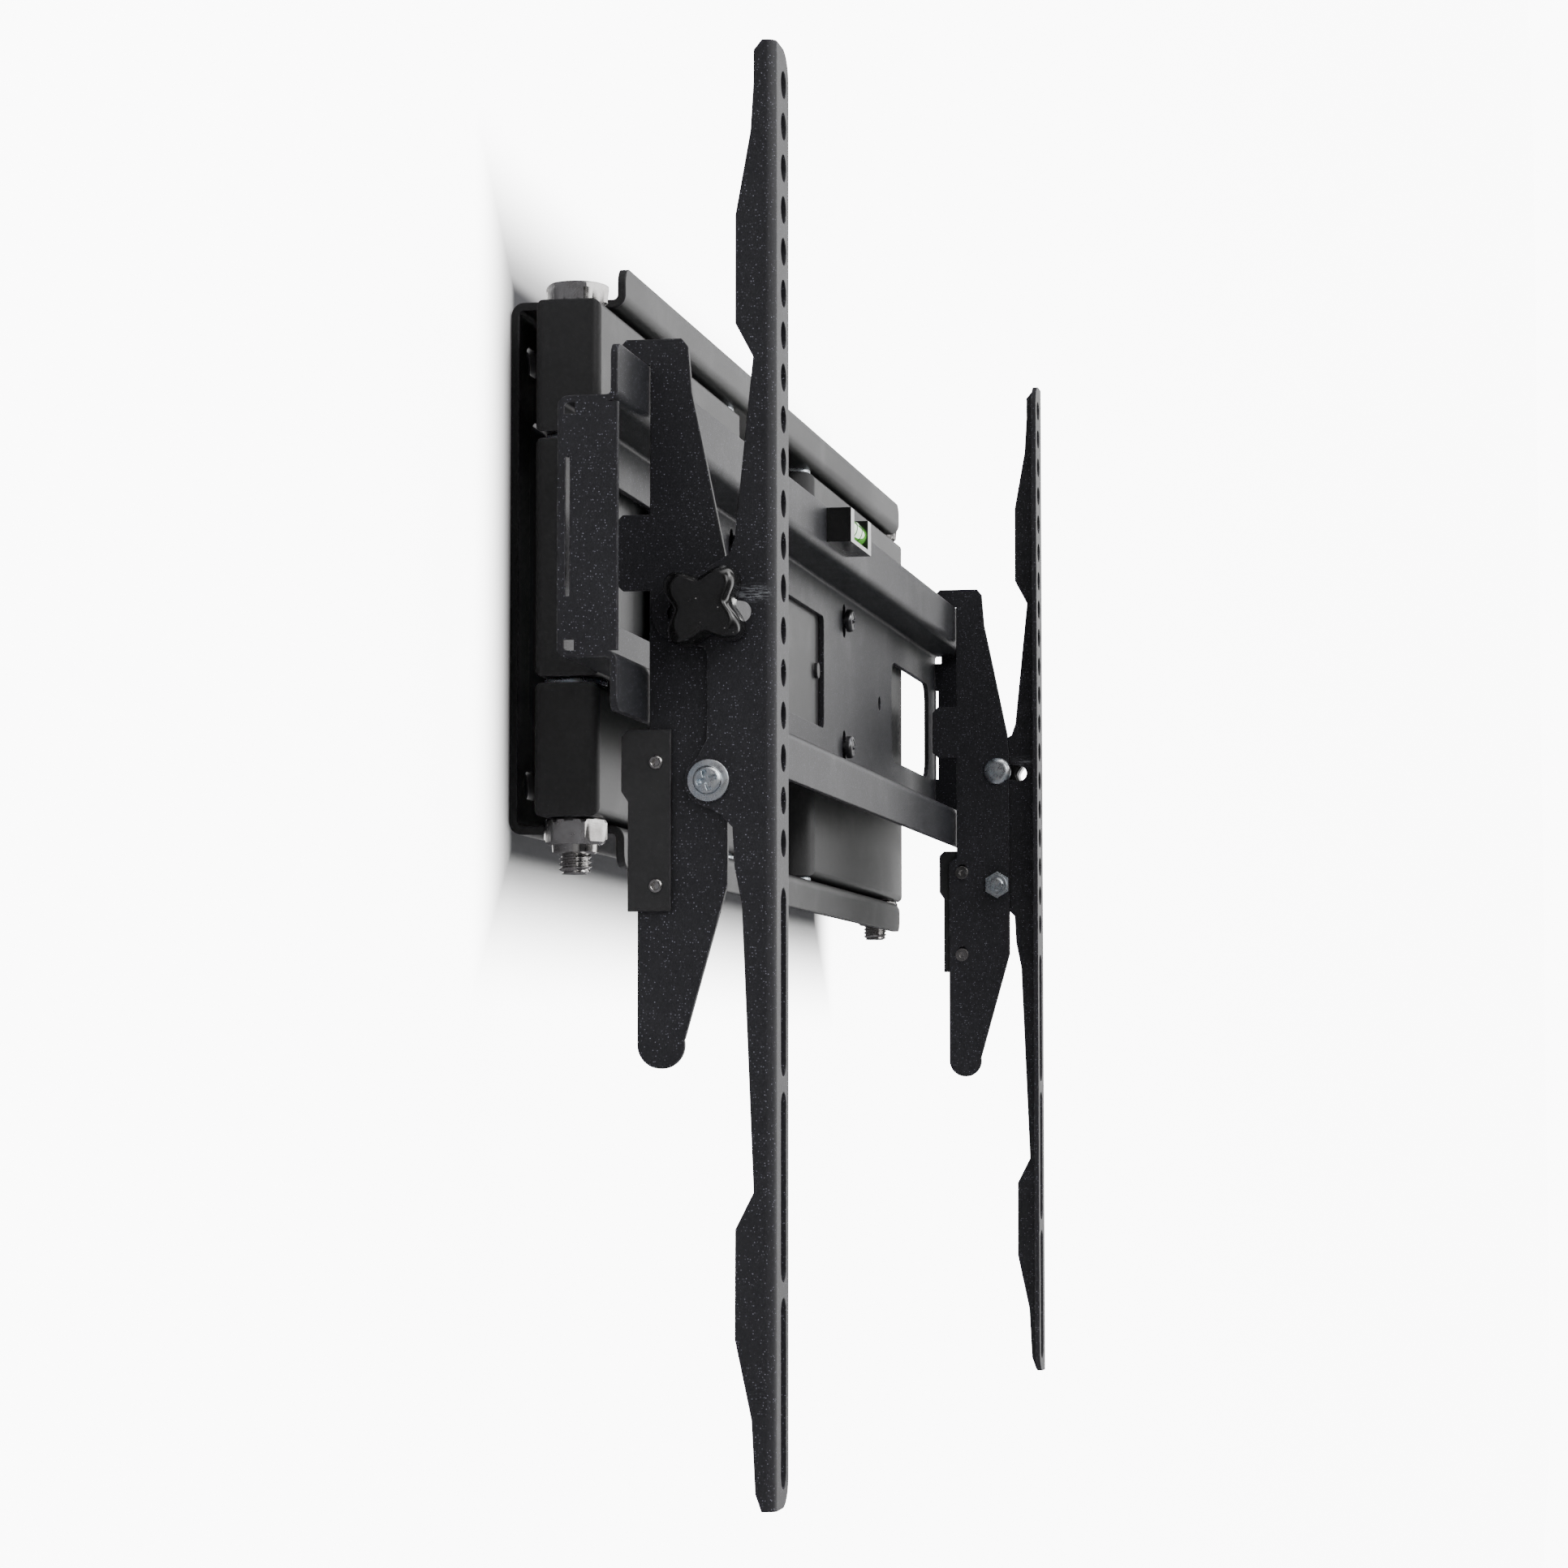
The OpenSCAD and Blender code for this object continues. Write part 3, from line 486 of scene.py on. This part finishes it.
def make_elbow_nut(side, metal, nylon):
    """Lock nut: a hexagon chamfered at both ends and a round collar that holds a nylon ring."""
    name = "elbow_nut_" + side
    centre, size, low, high = node_centre(name)
    across = size[1]
    around = 96
    bore = ARM_PIN_R + 0.1 * MM
    collar = low[2] + 2.8 * MM
    rise = [high[2], high[2], low[2], low[2], low[2] + 0.5 * MM, collar, collar,
            collar + 0.8 * MM, collar + 1.6 * MM, high[2] - 1.5 * MM, high[2] - 0.6 * MM, high[2]]
    limit = [0.47 * across, bore, bore, 0.36 * across, 0.41 * across, 0.42 * across, 0.47 * across,
             0.53 * across, 0.60 * across, 0.60 * across, 0.54 * across, 0.485 * across]
    shape = np.minimum(hexagon(across, around)[None, :], column(limit))
    points, faces = looped(shape, column(rise), around)
    points[:, :2] += centre[:2]
    mesh_piece("elbow_nut_detail_" + side, points, faces, metal, "link_wall_" + side,
               [name], 28)
    turn = np.linspace(0, 2 * np.pi, 16, endpoint=False)
    ring_r = (bore + 0.36 * across) / 2
    ring_t = 0.36 * across - ring_r
    points, faces = looped(column(ring_r + ring_t * np.cos(turn)),
                           column(low[2] + 0.5 * MM + 0.45 * MM * np.sin(turn)), 64)
    points[:, :2] += centre[:2]
    mesh_piece("nylon_ring_" + side, points, faces, nylon, "link_wall_" + side)


def make_washer(name, body, axis, material, inner):
    """Flat washer: its profile is a thin bar with rounded corners."""
    centre, size = node_centre(name)[:2]
    along = int(np.argmax(np.abs(axis)))
    thick = size[along]
    outer = size[(along + 1) % 3] / 2
    soft = min(0.3 * MM, thick * 0.3)
    radius = [outer - soft, outer - 0.3 * soft, outer, outer, outer - 0.3 * soft, outer - soft,
              inner + soft, inner, inner, inner + soft]
    rise = [-0.5 * thick, -0.5 * thick + 0.3 * soft, -0.5 * thick + soft, 0.5 * thick - soft,
            0.5 * thick - 0.3 * soft, 0.5 * thick, 0.5 * thick, 0.5 * thick - soft,
            -0.5 * thick + soft, -0.5 * thick]
    points, faces = looped(column(radius), column(rise), 72)
    mesh_piece(name + "_detail", turn_to(points, centre, axis), faces, material, body, [name])


def cross_recess(radius, angle, reach, width, depth):
    """Depth of a cross-shaped driver recess: full inside two crossed bars, tapering to nothing
    at their ends."""
    x = np.abs(radius * np.cos(angle))
    y = np.abs(radius * np.sin(angle))
    narrow = np.minimum(x, y)
    bar = np.clip((width - narrow) / (0.35 * width), 0, 1)
    fade = np.clip((reach - radius) / (0.35 * reach), 0, 1)
    return depth * bar * fade


def make_cross_head(name, body, axis, material, head_r, head_h, shank_r, shank_back,
                    spin=0.3):
    """Pan-head screw: round shank, domed head and a cross recess sunk in the dome."""
    tip = end_toward(name, axis)[0]
    around = 128
    angle = np.linspace(0, 2 * np.pi, around, endpoint=False)[None, :]
    side_turn = np.linspace(0, np.pi / 2, 8)
    soft = 0.55 * head_h
    rise = [-shank_back, -shank_back + 0.5 * MM, -head_h - 0.02 * MM, -head_h]
    radius = [shank_r - 0.5 * MM, shank_r, shank_r, head_r - 0.1 * MM]
    rise += list(-soft * (1 - np.sin(side_turn)) - 0.12 * head_h)
    radius += list(head_r - 0.28 * head_r * (1 - np.cos(side_turn)))
    inward = np.linspace(0.70, 0.02, 34)
    crown = -0.12 * head_h * inward ** 2 / 0.49
    radius = np.broadcast_to(column(list(radius) + list(inward * head_r)),
                             (len(radius) + len(inward), around))
    heights = np.broadcast_to(column(list(rise) + list(crown)), radius.shape).copy()
    sunk = cross_recess(radius, angle, 0.72 * head_r, 0.17 * head_r, 0.75 * head_h)
    heights[len(rise):] -= sunk[len(rise):]
    points, faces = capped(radius, heights, around)
    mesh_piece(name + "_detail", turn_to(points, tip, axis, spin), faces, material, body,
               [name], 32)


def make_domed_pin(name, body, axis, material, head_r, head_h, shank_r,
                   collar=None):
    """Pin with a domed head: a quarter-circle edge and a flat crown, and a collar if asked."""
    tip, size = end_toward(name, axis)
    length = size[int(np.argmax(np.abs(axis)))]
    turn = np.linspace(0, np.pi / 2, 9)
    rise = [-length, -length + 0.3 * MM]
    radius = [shank_r - 0.3 * MM, shank_r]
    if collar is not None:
        start, stop, wide = collar
        rise += [-start, -start, -stop, -stop]
        radius += [shank_r, wide, wide, shank_r]
    rise += [-head_h, -head_h]
    radius += [shank_r, head_r]
    rise += list(-0.75 * head_h * (1 - np.sin(turn)))
    radius += list(head_r - 0.45 * head_r * (1 - np.cos(turn)))
    rise += [0.0]
    radius += [0.1 * head_r]
    points, faces = capped(column(radius), column(rise), 64)
    mesh_piece(name + "_detail", turn_to(points, tip, axis), faces, material, body, [name], 30)


def make_hollow_rivet(side, level, material):
    """Tubular rivet: a rolled head and a flat tail on a thin tube, hollow from both ends. The
    rolled head is a quarter circle that turns over a narrow rim into the bore."""
    name = f"latch_rivet_{side}_{level}"
    sign = SIDES[side]
    tip, size = end_toward(name, (sign, 0, 0))
    length = size[0]
    tail_r = size[1] / 2
    head_r, shank_r, bore_r = 2.1 * MM, 1.5 * MM, 1.15 * MM
    flange, hollow, rim = 0.8 * MM, 2.4 * MM, 0.2 * MM
    turn = np.linspace(0, np.pi / 2, 8)
    rise = [-length + hollow, -length, -length, -length + flange, -length + flange, -flange, -flange]
    radius = [bore_r, bore_r, tail_r, tail_r, shank_r, shank_r, head_r]
    rise += list(-flange * 0.8 * (1 - np.sin(turn)))
    radius += list(head_r - (head_r - bore_r - rim) * (1 - np.cos(turn)))
    rise += [-rim, -hollow]
    radius += [bore_r, bore_r]
    points, faces = capped(column(radius), column(rise), 48)
    mesh_piece(name + "_detail", turn_to(points, tip, (sign, 0, 0)), faces, material,
               "latch_" + side, [name], 40)


def make_knob(side, material):
    """Clamping knob: one outline, a valley radius plus a raised cosine of four times the angle,
    is scaled ring by ring. The scale holds on the side, rounds over a quarter ellipse at the
    shoulder and falls to nothing over a low dome."""
    name = "knob_" + side
    sign = SIDES[side]
    base, size = end_toward(name, (-sign, 0, 0))
    thick = size[0]
    around = 192
    angle = np.linspace(0, 2 * np.pi, around, endpoint=False)[None, :]
    valley, tip = 8.4 * MM, 13.7 * MM
    outline = valley + (tip - valley) * (0.5 + 0.5 * np.cos(4 * angle))
    shoulder = np.linspace(0, np.pi / 2, 12)
    dome = np.linspace(1, 0.02, 16)
    top_scale = 0.74
    scale = [0.80, 0.90, 0.95, 1.0, 1.0]
    level = [0.0, 0.0, 0.03, 0.10, 0.40]
    scale += list(1 - (1 - top_scale) * (1 - np.cos(shoulder)))
    level += list(0.68 + 0.29 * np.sin(shoulder))
    scale += list(top_scale * dome[1:])
    level += list(0.97 + 0.02 * (1 - dome[1:] ** 2))
    points, faces = capped(outline * column(scale), column(level) * thick, around)
    mesh_piece("knob_detail_" + side, turn_to(points, base, (sign, 0, 0), 0.9), faces, material,
               "knob_" + side, [name], 50)


def make_vial(fluid, plastic, bubble_material):
    """Level vial: a tube bulging a little at its middle, with two marker rings and a bubble."""
    centre, size = node_centre("level_vial")[:2]
    half = size[0] / 2
    radius = size[2] / 2
    along = np.linspace(-1, 1, 41)
    swell = radius * (0.93 + 0.07 * (1 - along ** 2)) * np.clip((1 - np.abs(along)) / 0.06, 0, 1) ** 0.5
    swell = np.maximum(swell, 0.08 * radius)
    points, faces = capped(column(swell), column(along * half), 48)
    mesh_piece("level_vial_detail", turn_to(points, centre, (1, 0, 0)), faces, fluid, "cross",
               ["level_vial"])
    turn = np.linspace(0, 2 * np.pi, 12, endpoint=False)
    for k, place in enumerate((-0.22, 0.22)):
        points, faces = looped(column(radius + 0.12 * MM * np.cos(turn)),
                               column(0.45 * MM * np.sin(turn)), 48)
        spot = centre + np.array([place * size[0] * 0.6, 0, 0])
        mesh_piece(f"vial_ring_{k}", turn_to(points, spot, (1, 0, 0)), faces, plastic, "cross")
    polar = np.linspace(0.04, np.pi - 0.04, 20)
    points, faces = capped(column(1.5 * MM * np.sin(polar)), column(-3.4 * MM * np.cos(polar)), 32)
    spot = centre + np.array([0.4 * MM, -0.55 * radius, 0.40 * radius])
    mesh_piece("vial_bubble", turn_to(points, spot, (1, 0, 0)), faces, bubble_material, "cross")


# ---------------------------------------------------------------- finishes on the frame's nodes

def paint(node, material):
    """Gives a node its material on every slot."""
    mesh_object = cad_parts[node]
    mesh_object.data.materials.clear()
    mesh_object.data.materials.append(material)


satin = coated_metal("satin_coat", (0.016, 0.016, 0.017), 0.42, 2200.0, 0.06, (0.05, 0.05, 0.055),
                     0.00006, 0.0008, 0.25)
POWDER_FINISH = {
    "colour": (0.012, 0.012, 0.015), "roughness": 0.45, "cells": 1800.0, "sparkle": 0.28,
    "spark_colour": (0.24, 0.24, 0.30), "grain_depth": 0.14 * MM, "edge_radius": 0.6 * MM, "wear": 0.5}
RUB_SPREAD = (0.004, 0.009, 0.0035)
powder = coated_metal("powder_coat", **POWDER_FINISH)
plastic = moulded_plastic("black_plastic", (0.006, 0.006, 0.006), 0.16)
nylon = moulded_plastic("nylon", (0.05, 0.05, 0.055), 0.45)
zinc = plated_metal("zinc_plate", (0.84, 0.86, 0.88), 0.24, (0.70, 0.79, 0.86), 900.0)
chrome = plated_metal("nickel_plate", (0.56, 0.55, 0.54), 0.13, (0.46, 0.44, 0.43), 700.0)
dark_rivet = plated_metal("blackened_rivet", (0.10, 0.10, 0.11), 0.28, (0.20, 0.20, 0.20), 900.0)
fluid = vial_fluid()
bubble_glass = moulded_plastic("vial_bubble_skin", (0.55, 0.95, 0.45), 0.1)

for side, sign in SIDES.items():
    for part in ("upper", "lower", "middle"):
        paint(f"tube_{side}_{part}", satin)
    paint("hook_plate_" + side, powder)
    paint("latch_" + side, satin)
    stud = node_centre("knob_stud_" + side)[0]
    rail_low, rail_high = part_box("rail_" + side)
    face_x = rail_low[0] if sign < 0 else rail_high[0]
    spot = (face_x, stud[1] - 12 * MM, stud[2] + 4.5 * MM)
    paint("rail_" + side, coated_metal("rail_coat_" + side, rub=(spot, RUB_SPREAD), **POWDER_FINISH))
paint("wall_plate", satin)
paint("head_plate", satin)
paint("cross_plate", powder)
paint("level_holder", plastic)
for pin in ("head_pin_left", "head_pin_right", "tilt_nut_left", "tilt_nut_right"):
    paint(pin, zinc)

# ---------------------------------------------------------------- detailed pieces

for side, sign in SIDES.items():
    make_elbow_bolt(side, chrome)
    make_elbow_nut(side, chrome, nylon)
    make_knob(side, plastic)
    bracket = "bracket_" + side
    make_cross_head("tilt_screw_" + side, bracket, (sign, 0, 0), zinc, 4.3 * MM, 2.6 * MM,
                    SMALL_PIN_R, node_centre("tilt_screw_" + side)[1][0])
    make_washer("tilt_washer_" + side, bracket, (sign, 0, 0), zinc,
                SMALL_PIN_R + 0.05 * MM)
    make_domed_pin("knob_stud_" + side, bracket, (-sign, 0, 0), zinc, 6.0 * MM, 2.4 * MM,
                    SMALL_PIN_R)
    for level, up in LEVELS.items():
        make_washer(f"elbow_washer_{side}_{level}", "link_wall_" + side, (0, 0, 1), zinc,
                    ARM_PIN_R + 0.05 * MM)
        make_hollow_rivet(side, level, chrome)
        make_cross_head(f"head_bolt_{side}_{level}", "head", (0, -1, 0), dark_rivet, 4.5 * MM, 3.0 * MM,
                        2.5 * MM, node_centre(f"head_bolt_{side}_{level}")[1][1])
        make_domed_pin(f"shoulder_pin_{side}_{level}", "wall", (0, 0, up), zinc, 8.0 * MM, 4.0 * MM,
                       ARM_PIN_R, collar=(6.5 * MM, 7.8 * MM, 8.0 * MM))
make_vial(fluid, plastic, bubble_glass)


# ---------------------------------------------------------------- stage, light and camera

def stage_plane(name, corners, material):
    """One flat rectangle that belongs to the studio."""
    mesh = bpy.data.meshes.new(name)
    mesh.from_pydata([tuple(c) for c in corners], [], [(0, 1, 2, 3)])
    plane = bpy.data.objects.new(name, mesh)
    bpy.context.scene.collection.objects.link(plane)
    mesh.materials.append(material)
    return plane


WHITE_GLOW = 9.0


def studio_white(half_wide, half_tall):
    """Pale matte paint. Where it is seen directly, a glow lights it up so that it reads as white. The
    glow fades over a few centimetres toward the wall plate, which paints a soft shadow there. Behind
    the plate its colour is painted dark grey as shade, and reflections see it painted grey. It is clear
    from behind, so the wall never hides the back, and behind the plate it lets light through, so the
    back is lit."""
    material, tree, shader, coords = new_material("studio_white", (0.93, 0.93, 0.93), 0.9)
    shader.inputs["Specular IOR Level"].default_value = 0.0
    shader.inputs["Emission Color"].default_value = (1.0, 1.0, 1.0, 1.0)
    split = tree.nodes.new("ShaderNodeSeparateXYZ")
    tree.links.new(coords, split.inputs["Vector"])
    beside = math_node(tree, "SUBTRACT", math_node(tree, "ABSOLUTE", split.outputs["X"]), half_wide)
    above = math_node(tree, "SUBTRACT", math_node(tree, "ABSOLUTE", split.outputs["Z"]), half_tall)
    away = math_node(tree, "MAXIMUM", beside, above)
    # painted shadow: the camera-ray glow falls off over the last 45 mm toward the wall plate and is
    # gone behind it, so a soft shadow is painted there
    painted_shadow_fade = ramp_node(tree, away, -0.004, 0.045)
    # behind the plate: mask both for the painted shade below and for the gap that lets light through
    behind = ramp_node(tree, away, -0.006, 0.0, 1.0, 0.0)
    path = tree.nodes.new("ShaderNodeLightPath")
    lit = math_node(tree, "MULTIPLY", path.outputs["Is Camera Ray"], WHITE_GLOW)
    tree.links.new(math_node(tree, "MULTIPLY", lit, painted_shadow_fade), shader.inputs["Emission Strength"])
    # painted shade: behind the plate, and in every reflection, the wall's colour is darkened to grey
    dim = math_node(tree, "MAXIMUM", path.outputs["Is Glossy Ray"], behind)
    tone = mix_colour(tree, dim, (0.93, 0.93, 0.93, 1.0), (0.16, 0.16, 0.17, 1.0))
    tree.links.new(tone, shader.inputs["Base Color"])
    geometry = tree.nodes.new("ShaderNodeNewGeometry")
    clear = tree.nodes.new("ShaderNodeBsdfTransparent")
    mix = tree.nodes.new("ShaderNodeMixShader")
    unseen = math_node(tree, "SUBTRACT", 1.0, path.outputs["Is Camera Ray"])
    gap = math_node(tree, "MULTIPLY", behind, unseen)
    tree.links.new(math_node(tree, "MAXIMUM", geometry.outputs["Backfacing"], gap), mix.inputs["Fac"])
    tree.links.new(shader.outputs["BSDF"], mix.inputs[1])
    tree.links.new(clear.outputs["BSDF"], mix.inputs[2])
    tree.links.new(mix.outputs["Shader"], tree.nodes["Material Output"].inputs["Surface"])
    return material


WALL_LEFT, WALL_RIGHT = -4, 60
WALL_FOOT, WALL_TOP = -5, 14
FLOOR_HALF, FLOOR_DEPTH = 2.2, -3.2

plate_size = node_centre("wall_plate")[1]
white = studio_white(plate_size[0] / 2, plate_size[2] / 2)
wall_y = cad_box[1][1] + 0.0005
stage_plane("studio_wall", [(WALL_LEFT, wall_y, WALL_FOOT), (WALL_RIGHT, wall_y, WALL_FOOT),
                            (WALL_RIGHT, wall_y, WALL_TOP), (WALL_LEFT, wall_y, WALL_TOP)], white)
floor_z = -1.1
stage_plane("studio_floor", [(-FLOOR_HALF, FLOOR_DEPTH, floor_z), (FLOOR_HALF, FLOOR_DEPTH, floor_z),
                             (FLOOR_HALF, 0.0, floor_z), (-FLOOR_HALF, 0.0, floor_z)], white)


def area_light(name, place, target, size, power):
    """A soft square lamp aimed at a point."""
    lamp = bpy.data.lights.new(name, "AREA")
    lamp.shape = "SQUARE"
    lamp.size = size
    lamp.energy = power
    light = bpy.data.objects.new(name, lamp)
    light.location = place
    aim = Vector(target) - Vector(place)
    light.rotation_euler = aim.to_track_quat("-Z", "Y").to_euler()
    bpy.context.scene.collection.objects.link(light)


area_light("key", (-0.6, -2.6, 2.0), (0, -0.05, 0), 1.6, 44)
area_light("fill", (-2.2, -1.3, 0.9), (0, -0.05, 0), 0.9, 7)
area_light("back", (0.9, 2.4, 1.4), (0, 0, 0), 1.4, 40)


def studio_air():
    """Soft surrounding light: dim toward -X and brighter toward the room, the far end and above.
    Reflections also see it cut into broad bands by a sine wave, so that bright metal shows light
    and dark."""
    world = bpy.data.worlds.new("studio_air")
    world.use_nodes = True
    tree = world.node_tree
    direction = tree.nodes.new("ShaderNodeTexCoord").outputs["Generated"]
    lean = tree.nodes.new("ShaderNodeVectorMath")
    lean.operation = "DOT_PRODUCT"
    lean.inputs[1].default_value = (0.62, -0.42, 0.66)
    tree.links.new(direction, lean.inputs[0])
    glow = ramp_node(tree, lean.outputs["Value"], -0.55, 0.75, 0.14, 1.35)
    wave = tree.nodes.new("ShaderNodeVectorMath")
    wave.operation = "DOT_PRODUCT"
    wave.inputs[1].default_value = (2.6, 7.5, 6.0)
    tree.links.new(direction, wave.inputs[0])
    band = ramp_node(tree, math_node(tree, "SINE", wave.outputs["Value"]), -0.35, 0.35, -0.85, 1.1)
    rays = tree.nodes.new("ShaderNodeLightPath").outputs
    band = math_node(tree, "MULTIPLY", band, rays["Is Glossy Ray"])
    glow = math_node(tree, "MULTIPLY", glow, math_node(tree, "ADD", band, 1.0))
    seen = rays["Is Camera Ray"]
    background = tree.nodes["Background"]
    background.inputs["Color"].default_value = (1.0, 1.0, 1.0, 1.0)
    tree.links.new(math_node(tree, "ADD", glow, math_node(tree, "MULTIPLY", seen, WHITE_GLOW)),
                   background.inputs["Strength"])
    return world


bpy.context.scene.world = studio_air()

lens = bpy.data.cameras.new("camera")
lens.sensor_width = 36.0
lens.lens = 95.0
lens.clip_start = 0.05
camera = bpy.data.objects.new("camera", lens)
eye = Vector((-1.486, -0.3163, -0.160))
look = Vector((0.9799, 0.1852, 0.0741))
camera.location = eye
camera.rotation_euler = look.to_track_quat("-Z", "Y").to_euler()
bpy.context.scene.collection.objects.link(camera)
bpy.context.scene.camera = camera
